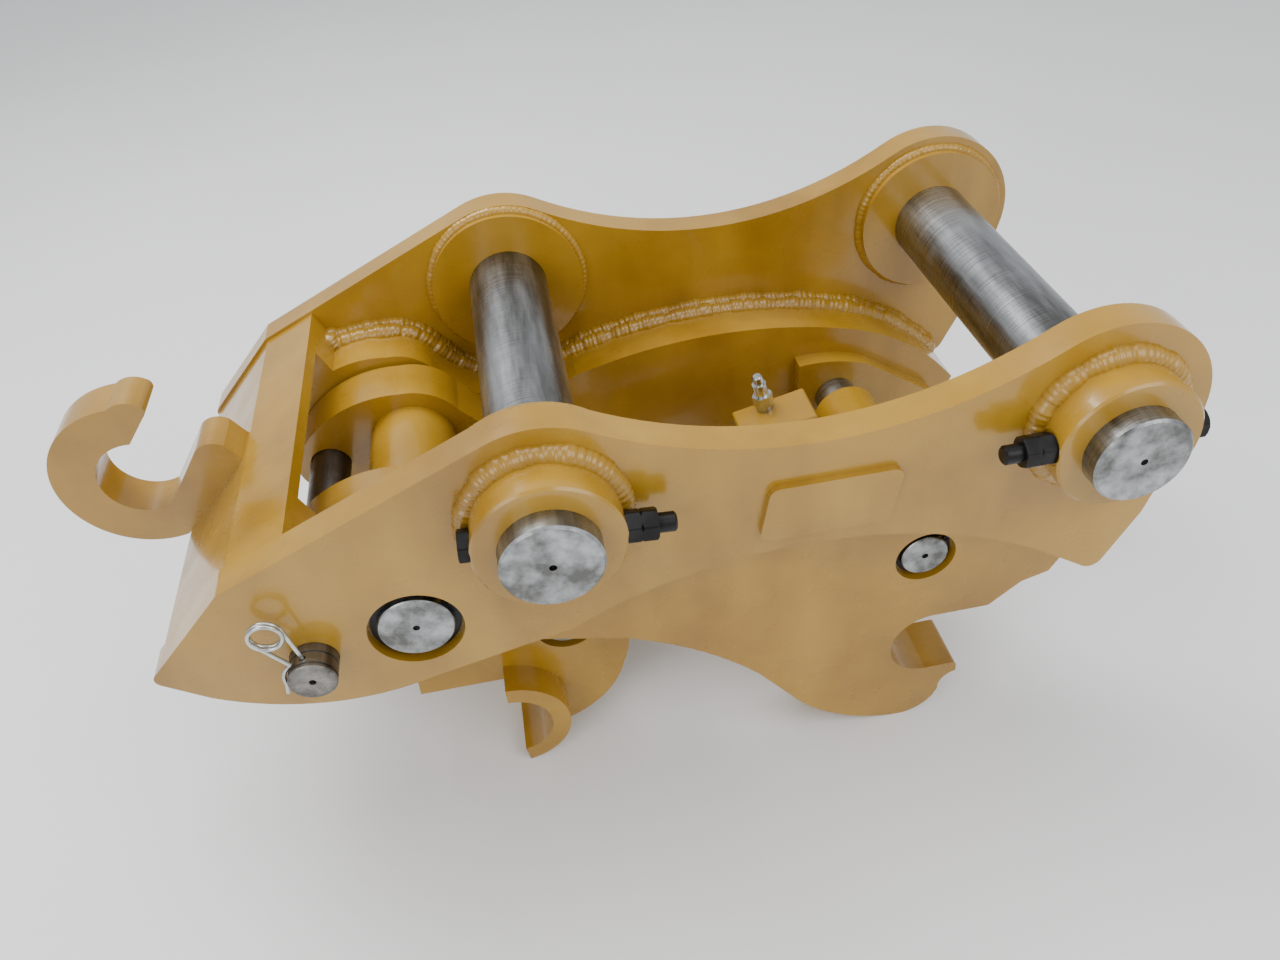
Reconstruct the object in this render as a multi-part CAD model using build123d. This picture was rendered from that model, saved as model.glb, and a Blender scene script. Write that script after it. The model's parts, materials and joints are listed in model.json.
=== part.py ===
from build123d import *
import math
import os

# Hydraulic quick coupler of an excavator, all lengths in millimetres.
# The origin is on the axis of the link pin, midway between the two ears.
# X runs from the link pin to the stick pin, Z is up, and the near side is at -Y.

# Machine pins and the ears that hold them
PIN_SPREAD = 460.0
PIN_R = 40.0
PIN_PROUD = 19.0
PIN_CHAMFER = 2.0
PIN_GAP = 0.1
FIXED_GAP = 0.05
CENTRE_DRILL_R = 3.0
CENTRE_DRILL_DEEP = 6.0
STICK_GAP = 320.0
DISC_THICK = 12.0
LINK_DISC_R = 78.0
STICK_DISC_R = 76.0
EAR_THICK = 30.0
JAW_THICK = 60.0
LINK_LOBE_R = 84.5
STICK_LOBE_R = 89.0
SADDLE_R = 380.0
BOSS_R = 60.0
BOSS_LONG = 39.0
BOSS_CHAMFER = 2.0

# Free points of the plate outlines lie so many of these units from a named place
PLATE_UNIT = 1.0

# Nose of the ears: the crease in its top edge, its toe and the rounding of its corners
CREASE_X = -259.0
CREASE_Z = -24.0
TOE_X = -339.0
TOE_Z = -106.0
CORNER_R = 8.0
NOSE_RECESS = 3.0
NOSE_PLATE = 12.0
NOSE_FRONT_SHORT = 6.0
WINDOW_X = -205.0
WINDOW_SLIDE = 38.0
JAW_SHOULDER = 14.0

# Underside of the stick end of the ears
TAIL_X = PIN_SPREAD + 62.0
TAIL_Z = -118.0
TIP_X = PIN_SPREAD + 31.0
TIP_Z = -184.0
TIP_R = 12.0
EAR_ARCH_Z = -82.0

# Height of the ground that the jaws and the swing hook stand on
GROUND_Z = -396.0

# Retaining bolts through the outer bosses
BOLT_R = 8.0
BOLT_HOLE_R = 8.5
BOLT_ACROSS_FLATS = 24.0
BOLT_HEAD = 10.0
NUT_THICK = 13.0
BOLT_PROUD = 15.0
BOLT_INSET = 16.0
BOLT_FLAT = 2.0
SPOT_FACE_R = 15.0
LINK_BOLT_TILT = 4.5

# Bucket pin that both jaws take
BUCKET_PIN_R = 40.0
JAW_CLEARANCE = 0.5

# Fixed jaw
NOTCH_X = PIN_SPREAD - 104.0
NOTCH_Z = -285.0
LOWER_LIP = 34.0
UPPER_LIP = 56.0
LOWER_LIP_R = 5.0
UPPER_LIP_R = 6.0
SCALLOP_R = 106.0
JAW_CREST_Z = -68.0

# Hook pivot
PIVOT_X = -121.0
PIVOT_Z = -100.0
PIVOT_R = 32.0
PIVOT_RING_R = 40.0
RUNNING_GAP = 0.08

# Cylinder pin and the doublers round it
CYL_X = PIN_SPREAD - 122.0
CYL_Z = -159.0
CYL_PIN_R = 22.5
CYL_RING_R = 29.0
DOUBLER_THICK = 20.0

# Rod pin in the swing hook
ROD_PIN_X = -1.0
ROD_PIN_Z = -234.0
ROD_PIN_R = 24.0
ROD_RING_R = 31.0

# Circlips and their pockets
CIRCLIP_THICK = 3.0
CIRCLIP_GROOVE = 1.8
CIRCLIP_REACH = 4.0
PIVOT_CLIP_REACH = 5.6
CIRCLIP_MOUTH = 8.0
CIRCLIP_TURN = 42.0
POCKET_DEEP = 11.0
PIN_END_SHY = 1.5

# Safety pin and its clip
SAFETY_X = -208.0
SAFETY_Z = -113.0
SAFETY_R = 20.0
SAFETY_GAP = 0.3
SAFETY_NEAR_PROUD = 25.0
SAFETY_FAR_PROUD = 10.0
SAFETY_CHAMFER = 3.0
CLIP_HOLE_R = 2.5
CLIP_HOLE_INSET = 10.0
PIN_GROOVE_STEP = 12.0
PIN_GROOVE_WIDE = 2.0
PIN_GROOVE_DEEP = 1.2
WIRE_R = 1.8
CLIP_COIL_R = 13.0
CLIP_REACH = 56.0
CLIP_TAIL = 25.0
CLIP_SIDE_GAP = 0.6
CLIP_DROP = 80.0

# Swing hook
CHEEK_THICK = 52.0
CHEEK_SIDE_GAP = 4.0
HEAD_R = 59.0
HEEL_R = 33.0
HEEL_FLARE = 15.0
CHEEK_TOE_SAG = 19.0
SEAT_X = -71.0
SEAT_WALL = 18.5
SEAT_HALF_LONG = 140.0
SEAT_OPEN_ANGLE = 171.0
GUIDE_X = -158.0
HUB_WALL = 6.0
BUSH_WALL = 5.0
BUSH_LONG = 50.0

# Hydraulic cylinder
BARREL_R = 46.0
BORE_R = 35.0
EYE_R = 34.0
EYE_HALF_LONG = 58.0
EYE_BUSH_WALL = 4.0
BARREL_START = 44.0
CAP_THICK = 18.0
GLAND_END = 262.0
GLAND_THICK = 24.0
ROD_R = 20.0
ROD_EYE_R = 38.0
ROD_EYE_HALF_LONG = 46.0
ROD_EYE_SLACK = 2.4
PISTON_THICK = 40.0
PISTON_END_GAP = 3.0
SEAL_THICK = 8.0
SEAL_DEEP = 3.0
SLIDING_GAP = 0.05

# Valve block on the barrel and its hose fitting
BLOCK_LONG = 77.0
BLOCK_WIDE = 50.0
BLOCK_TALL = 34.0
BLOCK_PLACE = 82.0
BLOCK_CHAMFER = 1.5
FITTING_R = 9.0
FITTING_TALL = 42.0
FITTING_FAR_Y = 14.0
FITTING_PLACE = 5.0

# Lifting hook on the nose
LIFT_HALF_THICK = 21.0
LIFT_X = -352.0
LIFT_Z = -34.0
LIFT_OUTER_R = 76.0
LIFT_THROAT_R = 38.0
LIFT_BASE_TOP = 7.0
LIFT_BASE_LONG = 112.0

# Name pad on the near ear
PAD_THICK = 6.0
PAD_LONG = 112.0
PAD_TALL = 55.0
PAD_LEAN = 10.0
PAD_CORNER_R = 9.0
PAD_X = PIN_SPREAD / 2
PAD_Z = -38.0

# Widths that follow from the sizes above
EAR_INNER = STICK_GAP / 2 + DISC_THICK
EAR_OUTER = EAR_INNER + EAR_THICK
JAW_INNER = EAR_INNER - JAW_THICK
BOSS_FACE = EAR_OUTER + BOSS_LONG
CHEEK_OUTER = JAW_INNER - CHEEK_SIDE_GAP
CHEEK_INNER = CHEEK_OUTER - CHEEK_THICK
JAW_R = BUCKET_PIN_R + JAW_CLEARANCE
SEAT_OUTER_R = JAW_R + SEAT_WALL
SEAT_Z = GROUND_Z + SEAT_OUTER_R
BUSH_OUTER_R = PIVOT_R + RUNNING_GAP + BUSH_WALL

LINK = (0.0, 0.0)
STICK = (PIN_SPREAD, 0.0)
PIVOT = (PIVOT_X, PIVOT_Z)
CYL = (CYL_X, CYL_Z)
ROD_PIN = (ROD_PIN_X, ROD_PIN_Z)
SAFETY = (SAFETY_X, SAFETY_Z)
SEAT = (SEAT_X, SEAT_Z)
NOTCH = (NOTCH_X, NOTCH_Z)


# Small geometry helpers, all in the X-Z plane

def spot(centre, radius, degrees):
    angle = math.radians(degrees)
    return (centre[0] + radius * math.cos(angle), centre[1] + radius * math.sin(angle))


def towards(start, end, length):
    return spot(start, length, heading(start, end))


def beside(place, right, up):
    return (place[0] + right * PLATE_UNIT, place[1] + up * PLATE_UNIT)


def heading(start, end):
    return math.degrees(math.atan2(end[1] - start[1], end[0] - start[0]))


def line(start, end):
    return Line((start[0], 0, start[1]), (end[0], 0, end[1]))


def arc(start, middle, end):
    return ThreePointArc((start[0], 0, start[1]), (middle[0], 0, middle[1]), (end[0], 0, end[1]))


def bow(start, end, sag):
    # Arc that bulges to the right of its way by the sag
    middle = ((start[0] + end[0]) / 2, (start[1] + end[1]) / 2)
    return arc(start, spot(middle, sag, heading(start, end) - 90), end)


def slab(edges, y_low, y_high):
    face = make_face(edges)
    return Pos(0, y_low, 0) * extrude(face, y_high - y_low, dir=(0, 1, 0))


def rod_along_y(centre, radius, y_low, y_high):
    middle = Pos(centre[0], (y_low + y_high) / 2, centre[1])
    return middle * Rot(90, 0, 0) * Cylinder(radius, y_high - y_low)


def ring_along_y(centre, outer, inner, y_low, y_high):
    return rod_along_y(centre, outer, y_low, y_high) - rod_along_y(centre, inner, y_low - 1, y_high + 1)


def other_side(shape):
    return mirror(shape, Plane.XZ)


def round_upright(solid, places, radius):
    for place in places:
        edge = solid.edges().filter_by(Axis.Y).sort_by_distance((place[0], 0, place[1]))[0]
        solid = fillet(edge, radius)
    return solid


def tangent_point(outside, centre, radius, side):
    reach = math.dist(outside, centre)
    lean = math.degrees(math.acos(radius / reach))
    return spot(centre, radius, heading(centre, outside) + side * lean)


# Nose lines: the outer edge of the ears and, inside it, the two faces of the cover plates

def nose_slope():
    crown = tangent_point((CREASE_X, CREASE_Z), LINK, LINK_LOBE_R, -1)
    return math.radians(heading((CREASE_X, CREASE_Z), crown))


def front_slope():
    return math.radians(heading((TOE_X, TOE_Z), (CREASE_X, CREASE_Z)))


def nose_offset_crease(depth):
    # Crease of the line that lies this deep below both nose edges
    half = (front_slope() - nose_slope()) / 2
    middle = (front_slope() + nose_slope()) / 2
    reach = depth / math.cos(half)
    return (CREASE_X + reach * math.sin(middle), CREASE_Z - reach * math.cos(middle))


def along(start, angle, length):
    return (start[0] + length * math.cos(angle), start[1] + length * math.sin(angle))


def window_corners():
    # Upper and lower corner of the square-cut edge of the top cover plate
    outer = nose_offset_crease(NOSE_RECESS)
    upper = along(outer, nose_slope(), (WINDOW_X - outer[0]) / math.cos(nose_slope()))
    lower = along(upper, nose_slope() - math.pi / 2, NOSE_PLATE)
    return upper, lower


# Ears and jaws

def saddle_centre():
    near = LINK_LOBE_R + SADDLE_R
    far = STICK_LOBE_R + SADDLE_R
    x = (near ** 2 - far ** 2 + PIN_SPREAD ** 2) / (2 * PIN_SPREAD)
    return (x, math.sqrt(near ** 2 - x ** 2))


def ear_outline():
    crease = (CREASE_X, CREASE_Z)
    toe = (TOE_X, TOE_Z)
    tail = (TAIL_X, TAIL_Z)
    tip = (TIP_X, TIP_Z)
    saddle = saddle_centre()
    crown = tangent_point(crease, LINK, LINK_LOBE_R, -1)
    dip_start = towards(LINK, saddle, LINK_LOBE_R)
    dip_end = towards(STICK, saddle, STICK_LOBE_R)
    dip = spot(saddle, SADDLE_R, (heading(saddle, LINK) + heading(saddle, STICK)) / 2)
    back = tangent_point(tail, STICK, STICK_LOBE_R, 1)
    arch_end = beside(tip, -60, 40)
    arch_start = beside(PIVOT, 127, -34)
    belly_start = beside(PIVOT, 3, -62)
    belly_end = beside(toe, 39, -32)
    return [
        line(crease, crown),
        arc(crown, spot(LINK, LINK_LOBE_R, 90), dip_start),
        arc(dip_start, dip, dip_end),
        arc(dip_end, spot(STICK, STICK_LOBE_R, 60), back),
        line(back, tail),
        line(tail, tip),
        line(tip, arch_end),
        arc(arch_end, (PIN_SPREAD * 0.47, EAR_ARCH_Z), arch_start),
        line(arch_start, belly_start),
        arc(belly_start, beside(SAFETY, 1, -58), belly_end),
        line(belly_end, toe),
        line(toe, crease),
    ]


def near_ear():
    ear = slab(ear_outline(), -EAR_OUTER, -EAR_INNER)
    ear = round_upright(ear, [(CREASE_X, CREASE_Z), (TOE_X, TOE_Z)], CORNER_R)
    ear = round_upright(ear, [(TIP_X, TIP_Z)], TIP_R)
    ear = round_upright(ear, [(TAIL_X, TAIL_Z)], 2 * CORNER_R)
    for centre in (LINK, STICK):
        ear -= rod_along_y(centre, PIN_R + PIN_GAP, -EAR_OUTER - 1, -EAR_INNER + 1)
    ear -= rod_along_y(PIVOT, PIVOT_R + PIN_GAP, -EAR_OUTER - 1, -EAR_INNER + 1)
    ear -= rod_along_y(PIVOT, PIVOT_RING_R, -EAR_OUTER - 1, -EAR_OUTER + POCKET_DEEP)
    ear -= rod_along_y(SAFETY, SAFETY_R + SAFETY_GAP, -EAR_OUTER - 1, -EAR_INNER + 1)
    return ear


def jaw_outline():
    # From the cut edge of the cover plate over the waves on top, round the notch and back along the ground
    upper, lower = window_corners()
    inner_crease = nose_offset_crease(NOSE_RECESS + NOSE_PLATE)
    shoulder = along(inner_crease, front_slope() + math.pi, JAW_SHOULDER)
    slide_end = along(upper, nose_slope() - math.pi / 2, WINDOW_SLIDE)
    hollow_end = beside(PIVOT, -13, 68)
    scallop_start = spot(LINK, SCALLOP_R, 210)
    scallop_end = spot(LINK, SCALLOP_R, -59)
    crest_end = beside(CYL, 26, 69)
    back_top = beside(CYL, 135, -2)
    back = beside(CYL, 148, -17)
    hip = beside(CYL, 130, -51)
    waist = beside(CYL, 104, -59)
    notch_top = spot(NOTCH, JAW_R, 90)
    notch_low = spot(NOTCH, JAW_R, -90)
    upper_lip = (NOTCH_X + UPPER_LIP, notch_top[1])
    lower_lip = (NOTCH_X + LOWER_LIP, notch_low[1])
    chin = beside(lower_lip, 1, -14)
    bite_end = beside(NOTCH, 18, -79)
    ground = (NOTCH_X, GROUND_Z)
    sole = beside(ground, -30, 0)
    sole_end = beside(ground, -134, 56)
    throat_start = beside(CYL, -158, -125)
    throat_end = beside(PIVOT, 171, -93)
    belly = beside(PIVOT, 81, -70)
    lobe = beside(PIVOT, -5, -88)
    heel = (shoulder[0], beside(SAFETY, 0, -44)[1])
    return [
        line(shoulder, inner_crease),
        line(inner_crease, lower),
        line(lower, slide_end),
        arc(slide_end, beside(PIVOT, -40, 69), hollow_end),
        arc(hollow_end, beside(PIVOT, 12, 62.5), scallop_start),
        arc(scallop_start, spot(LINK, SCALLOP_R, 255), scallop_end),
        arc(scallop_end, (PIN_SPREAD * 0.43, JAW_CREST_Z), crest_end),
        arc(crest_end, beside(CYL, 90, 38), back_top),
        line(back_top, back),
        line(back, hip),
        line(hip, waist),
        line(waist, upper_lip),
        line(upper_lip, notch_top),
        arc(notch_top, spot(NOTCH, JAW_R, 180), notch_low),
        line(notch_low, lower_lip),
        line(lower_lip, chin),
        arc(chin, beside(NOTCH, 22, -63), bite_end),
        arc(bite_end, beside(ground, -1, 6), sole),
        arc(sole, beside(ground, -94, 22), sole_end),
        line(sole_end, throat_start),
        arc(throat_start, beside(CYL, -218, -72), throat_end),
        line(throat_end, belly),
        arc(belly, beside(PIVOT, 36, -81), lobe),
        arc(lobe, beside(SAFETY, 8, -70), heel),
        line(heel, shoulder),
    ]


def near_jaw():
    jaw = slab(jaw_outline(), -EAR_INNER, -JAW_INNER)
    jaw = round_upright(jaw, [(NOTCH_X + UPPER_LIP, NOTCH_Z + JAW_R)], UPPER_LIP_R)
    jaw = round_upright(jaw, [(NOTCH_X + LOWER_LIP, NOTCH_Z - JAW_R)], LOWER_LIP_R)
    bores = ((PIVOT, PIVOT_R + PIN_GAP), (CYL, CYL_PIN_R + PIN_GAP), (SAFETY, SAFETY_R + SAFETY_GAP))
    for centre, radius in bores:
        jaw -= rod_along_y(centre, radius, -EAR_INNER - 1, -JAW_INNER + 1)
    jaw -= rod_along_y(CYL, CYL_RING_R, -EAR_INNER - 1, -EAR_INNER + POCKET_DEEP)
    return jaw


def near_doubler():
    low_left = beside(CYL, -42, -50)
    top_left = beside(CYL, -42, 46)
    crest_end = beside(CYL, 37, 34)
    top_right = beside(CYL, 117, -20)
    low_right = beside(CYL, 98, -42)
    outline = [
        line(low_left, top_left),
        arc(top_left, beside(CYL, 10, 43), crest_end),
        line(crest_end, top_right),
        line(top_right, low_right),
        line(low_right, low_left),
    ]
    doubler = slab(outline, -JAW_INNER, -JAW_INNER + DOUBLER_THICK)
    return doubler - rod_along_y(CYL, CYL_PIN_R + PIN_GAP, -JAW_INNER - 1, -JAW_INNER + DOUBLER_THICK + 1)


# Nose cover plates, lifting hook and name pad

def nose_top_plate():
    outer = nose_offset_crease(NOSE_RECESS)
    inner = nose_offset_crease(NOSE_RECESS + NOSE_PLATE)
    upper, lower = window_corners()
    corners = [outer, upper, lower, inner]
    outline = [line(corners[i], corners[(i + 1) % 4]) for i in range(4)]
    return slab(outline, -EAR_INNER, EAR_INNER)


def nose_front_plate():
    outer = nose_offset_crease(NOSE_RECESS)
    inner = nose_offset_crease(NOSE_RECESS + NOSE_PLATE)
    length = math.dist((CREASE_X, CREASE_Z), (TOE_X, TOE_Z)) - NOSE_FRONT_SHORT
    outer_end = along(outer, front_slope() + math.pi, length)
    inner_end = along(outer_end, front_slope() - math.pi / 2, NOSE_PLATE)
    corners = [outer, outer_end, inner_end, inner]
    outline = [line(corners[i], corners[(i + 1) % 4]) for i in range(4)]
    return slab(outline, -EAR_INNER, EAR_INNER)


def lifting_hook():
    crease = nose_offset_crease(NOSE_RECESS)
    centre = (LIFT_X, LIFT_Z)
    base_top = along(crease, front_slope() + math.pi, LIFT_BASE_TOP)
    base_low = along(crease, front_slope() + math.pi, LIFT_BASE_LONG)
    crown = spot(centre, LIFT_OUTER_R, 91)
    beak_top = beside(centre, 24, 76)
    beak_low = beside(centre, 25, 63)
    throat_top = spot(centre, LIFT_THROAT_R, 84)
    throat_low = spot(centre, LIFT_THROAT_R, -70)
    knob = beside(centre, 53, 19)
    knob_end = beside(centre, 79, 20)
    outline = [
        line(base_top, base_low),
        arc(base_low, spot(centre, LIFT_OUTER_R, 182), crown),
        arc(crown, beside(centre, 15, 80), beak_top),
        arc(beak_top, beside(centre, 28, 71), beak_low),
        line(beak_low, throat_top),
        arc(throat_top, spot(centre, LIFT_THROAT_R, 180), throat_low),
        line(throat_low, knob),
        arc(knob, beside(centre, 67, 25), knob_end),
        line(knob_end, base_top),
    ]
    return slab(outline, -LIFT_HALF_THICK, LIFT_HALF_THICK)


def name_pad():
    half = PAD_LONG / 2
    lean = PAD_LEAN / 2
    top = PAD_Z + PAD_TALL / 2
    low = PAD_Z - PAD_TALL / 2
    corners = [
        (PAD_X - half - lean, low),
        (PAD_X - half + lean, top),
        (PAD_X + half + lean, top),
        (PAD_X + half - lean, low),
    ]
    edges = [line(corners[i], corners[(i + 1) % 4]) for i in range(4)]
    pad = slab(edges, -EAR_OUTER - PAD_THICK, -EAR_OUTER)
    return round_upright(pad, corners, PAD_CORNER_R)


# Machine pins, their bosses and their retaining bolts

def bolt_line(centre, tilt):
    return Pos(centre[0], -BOSS_FACE + BOLT_INSET, centre[1]) * Rot(0, tilt, 0)


def bolt_hole(centre, tilt):
    return bolt_line(centre, tilt) * Rot(0, 90, 0) * Cylinder(BOLT_HOLE_R, 4 * BOSS_R)


def outer_boss(centre, tilt, side):
    face = side * BOSS_FACE
    low, high = sorted((side * EAR_OUTER, face))
    boss = rod_along_y(centre, BOSS_R, low, high)
    rims = boss.edges().filter_by(GeomType.CIRCLE).sort_by(Axis.Y)
    boss = chamfer(rims[0 if side < 0 else -1], BOSS_CHAMFER)
    boss -= rod_along_y(centre, PIN_R + PIN_GAP, low - 1, high + 1)
    if side < 0:
        boss -= bolt_hole(centre, tilt)
        spot_face = Rot(0, 90, 0) * Cylinder(SPOT_FACE_R, 2 * BOLT_FLAT)
        for end in (-BOSS_R, BOSS_R):
            boss -= bolt_line(centre, tilt) * Pos(end, 0, 0) * spot_face
    return boss


def machine_pin(centre, tilt):
    end = BOSS_FACE + PIN_PROUD
    pin = rod_along_y(centre, PIN_R, -end, end)
    pin = chamfer(pin.edges().filter_by(GeomType.CIRCLE), PIN_CHAMFER)
    for side in (-1, 1):
        low, high = sorted((side * (end - CENTRE_DRILL_DEEP), side * (end + 1)))
        pin -= rod_along_y(centre, CENTRE_DRILL_R, low, high)
    return pin - bolt_hole(centre, tilt)


def hexagon_bar(across_flats, start, end):
    profile = RegularPolygon(across_flats / 2, 6, major_radius=False)
    bar = extrude(profile, end - start)
    blunt = Cylinder(across_flats * 0.56, end - start, align=(Align.CENTER, Align.CENTER, Align.MIN))
    blunt = chamfer(blunt.edges().filter_by(GeomType.CIRCLE), across_flats * 0.05)
    return Pos(start, 0, 0) * Rot(0, 90, 0) * (bar & blunt)


def retaining_bolt(centre, tilt, head_side):
    seat = BOSS_R - BOLT_FLAT
    length = 2 * seat + 2 * NUT_THICK + BOLT_PROUD
    shank = Cylinder(BOLT_R, length, align=(Align.CENTER, Align.CENTER, Align.MIN))
    shank = chamfer(shank.edges().filter_by(GeomType.CIRCLE).sort_by(Axis.Z)[-1], BOLT_R * 0.2)
    bolt = Pos(-seat, 0, 0) * Rot(0, 90, 0) * shank
    bolt += hexagon_bar(BOLT_ACROSS_FLATS, -seat - BOLT_HEAD, -seat)
    return bolt_line(centre, tilt) * Rot(0, 0, 0 if head_side < 0 else 180) * bolt


def retaining_nuts(centre, tilt, head_side):
    seat = BOSS_R - BOLT_FLAT
    nuts = []
    for place in range(2):
        start = seat + place * NUT_THICK
        nut = hexagon_bar(BOLT_ACROSS_FLATS, start, start + NUT_THICK)
        nut -= Rot(0, 90, 0) * Cylinder(BOLT_R + FIXED_GAP, 4 * BOSS_R)
        nuts.append(bolt_line(centre, tilt) * Rot(0, 0, 0 if head_side < 0 else 180) * nut)
    return Compound(nuts)


# Pins held by circlips in pockets

def circlip_start(wall):
    # The clip lies on the floor of the pocket that is cut into this outer wall
    return wall - POCKET_DEEP


def circlip_pin(centre, radius, wall):
    end = wall - PIN_END_SHY
    pin = rod_along_y(centre, radius, -end, end)
    pin = chamfer(pin.edges().filter_by(GeomType.CIRCLE), 1.0)
    for side in (-1, 1):
        low, high = sorted((side * circlip_start(wall), side * (circlip_start(wall) + CIRCLIP_THICK)))
        pin -= ring_along_y(centre, radius + 1, radius - CIRCLIP_GROOVE, low, high)
        drill_low, drill_high = sorted((side * (end - CENTRE_DRILL_DEEP), side * (end + 1)))
        pin -= rod_along_y(centre, CENTRE_DRILL_R, drill_low, drill_high)
    return pin


def circlip(centre, radius, reach, wall):
    start = circlip_start(wall)
    end = start + CIRCLIP_THICK
    outer = radius + reach
    ring = rod_along_y(centre, outer, start, end)
    mouth = Pos(centre[0], (start + end) / 2, centre[1]) * Rot(0, -CIRCLIP_TURN, 0) * Pos(radius, 0, 0)
    ring -= mouth * Box(4 * reach, 2 * CIRCLIP_THICK, CIRCLIP_MOUTH)
    lug_r = (reach + CIRCLIP_GROOVE) / 2 + 0.4
    lug_turn = math.degrees((CIRCLIP_MOUTH / 2 + lug_r) / outer)
    for turn in (-lug_turn, lug_turn):
        lug = spot(centre, outer - lug_r + 1.0, CIRCLIP_TURN + turn)
        ring += rod_along_y(lug, lug_r, start, end)
        ring -= rod_along_y(lug, lug_r * 0.4, start - 1, end + 1)
    return ring - rod_along_y(centre, radius - CIRCLIP_GROOVE + FIXED_GAP, start - 1, end + 1)


def circlip_pair(centre, radius, reach, wall):
    far = circlip(centre, radius, reach, wall)
    return Compound([far.solids()[0], other_side(far).solids()[0]])


# Safety pin and its spring clip

def clip_y():
    return -EAR_OUTER - SAFETY_NEAR_PROUD + CLIP_HOLE_INSET


def clip_frame():
    # Local x runs down the straight leg, local z is square to it and upward
    return Pos(SAFETY_X, clip_y(), SAFETY_Z) * Rot(0, CLIP_DROP, 0)


def safety_pin():
    near = -EAR_OUTER - SAFETY_NEAR_PROUD
    far = EAR_OUTER + SAFETY_FAR_PROUD
    pin = rod_along_y(SAFETY, SAFETY_R, near, far)
    pin = chamfer(pin.edges().filter_by(GeomType.CIRCLE).sort_by(Axis.Y)[-1], SAFETY_CHAMFER)
    pin = chamfer(pin.edges().filter_by(GeomType.CIRCLE).sort_by(Axis.Y)[0], 1.0)
    for side in (-1, 1):
        groove = near + CLIP_HOLE_INSET + (side * PIN_GROOVE_STEP - PIN_GROOVE_WIDE) / 2
        bottom = SAFETY_R - PIN_GROOVE_DEEP
        pin -= ring_along_y(SAFETY, 2 * SAFETY_R, bottom, groove, groove + PIN_GROOVE_WIDE)
    pin -= rod_along_y(SAFETY, CENTRE_DRILL_R, near - 1, near + CENTRE_DRILL_DEEP)
    return pin - clip_frame() * Rot(0, 90, 0) * Cylinder(CLIP_HOLE_R, 4 * SAFETY_R)


def wire(path):
    tube = sweep((path ^ 0) * Circle(WIRE_R), path=path)
    return tube + Pos(*(path @ 1)) * Sphere(WIRE_R)


def spring_clip():
    # Straight leg through the pin, two turns of coil, and a sprung leg that hugs the pin's side
    turn = 2 * WIRE_R * 0.94
    hug_r = SAFETY_R + WIRE_R + CLIP_SIDE_GAP
    neck = spot((0, 0), hug_r, 206)
    hug = spot((0, 0), hug_r, 238)
    side = (0.0, -hug_r)
    clip = wire(Line((-CLIP_REACH, 0, 0), (CLIP_TAIL, 0, 0)))
    for y in (0, -turn):
        clip += Pos(-CLIP_REACH, y, -CLIP_COIL_R) * Rot(90, 0, 0) * Torus(CLIP_COIL_R, WIRE_R)
    clip += wire(Line((-CLIP_REACH, -turn, -2 * CLIP_COIL_R), (neck[0], -turn, neck[1])))
    round_pin = ThreePointArc((neck[0], -turn, neck[1]), (hug[0], -turn, hug[1]), (side[0], -turn, side[1]))
    clip += wire(round_pin)
    clip += wire(Line((side[0], -turn, side[1]), (side[0] + 9.0, -turn, side[1] - 3.5)))
    return clip_frame() * clip


# Swing hook

def cheek_outline():
    head_right = spot(PIVOT, HEAD_R, 30)
    head_top = spot(PIVOT, HEAD_R, 92)
    heel_back = spot(SAFETY, HEEL_R, 140)
    heel_low = spot(SAFETY, HEEL_R, 262)
    neck_top = beside((SAFETY_X, SAFETY_Z - HEEL_R), 36, -3)
    neck = beside((GUIDE_X, PIVOT_Z), 6, -92)
    seat_r = SEAT_OUTER_R + FIXED_GAP
    guide_low = (GUIDE_X, SEAT_Z + JAW_R)
    guide_end = (SEAT_X - FIXED_GAP, SEAT_Z + JAW_R)
    seat_top = (SEAT_X - FIXED_GAP, SEAT_Z + seat_r)
    toe = spot(SEAT, seat_r, -56)
    bulge_low = beside(ROD_PIN, 54, -68)
    bulge_top = beside(ROD_PIN, 40, 46)
    return [
        line(bulge_top, head_right),
        arc(head_right, spot(PIVOT, HEAD_R, 60), head_top),
        arc(head_top, beside(SAFETY, 28, 64), heel_back),
        arc(heel_back, spot(SAFETY, HEEL_R, 200), heel_low),
        line(heel_low, neck_top),
        arc(neck_top, beside((GUIDE_X, SAFETY_Z), 3, -44), neck),
        line(neck, guide_low),
        line(guide_low, guide_end),
        line(guide_end, seat_top),
        line(seat_top, spot(SEAT, seat_r, 90)),
        arc(spot(SEAT, seat_r, 90), spot(SEAT, seat_r, 17), toe),
        bow(toe, bulge_low, CHEEK_TOE_SAG),
        arc(bulge_low, beside(ROD_PIN, 61, -8), bulge_top),
    ]


def heel_notch():
    # Open at the bottom, so that the hook can swing up off the safety pin
    mouth = HEEL_R + 12.0
    half = SAFETY_R + 3 * SAFETY_GAP
    flare = half + HEEL_FLARE
    edges = [
        line((SAFETY_X - half, SAFETY_Z), (SAFETY_X + half, SAFETY_Z)),
        line((SAFETY_X + half, SAFETY_Z), (SAFETY_X + flare, SAFETY_Z - mouth)),
        line((SAFETY_X + flare, SAFETY_Z - mouth), (SAFETY_X - flare, SAFETY_Z - mouth)),
        line((SAFETY_X - flare, SAFETY_Z - mouth), (SAFETY_X - half, SAFETY_Z)),
    ]
    slot = slab(edges, -CHEEK_OUTER - 1, -CHEEK_INNER + 1)
    return slot + rod_along_y(SAFETY, half, -CHEEK_OUTER - 1, -CHEEK_INNER + 1)


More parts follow.
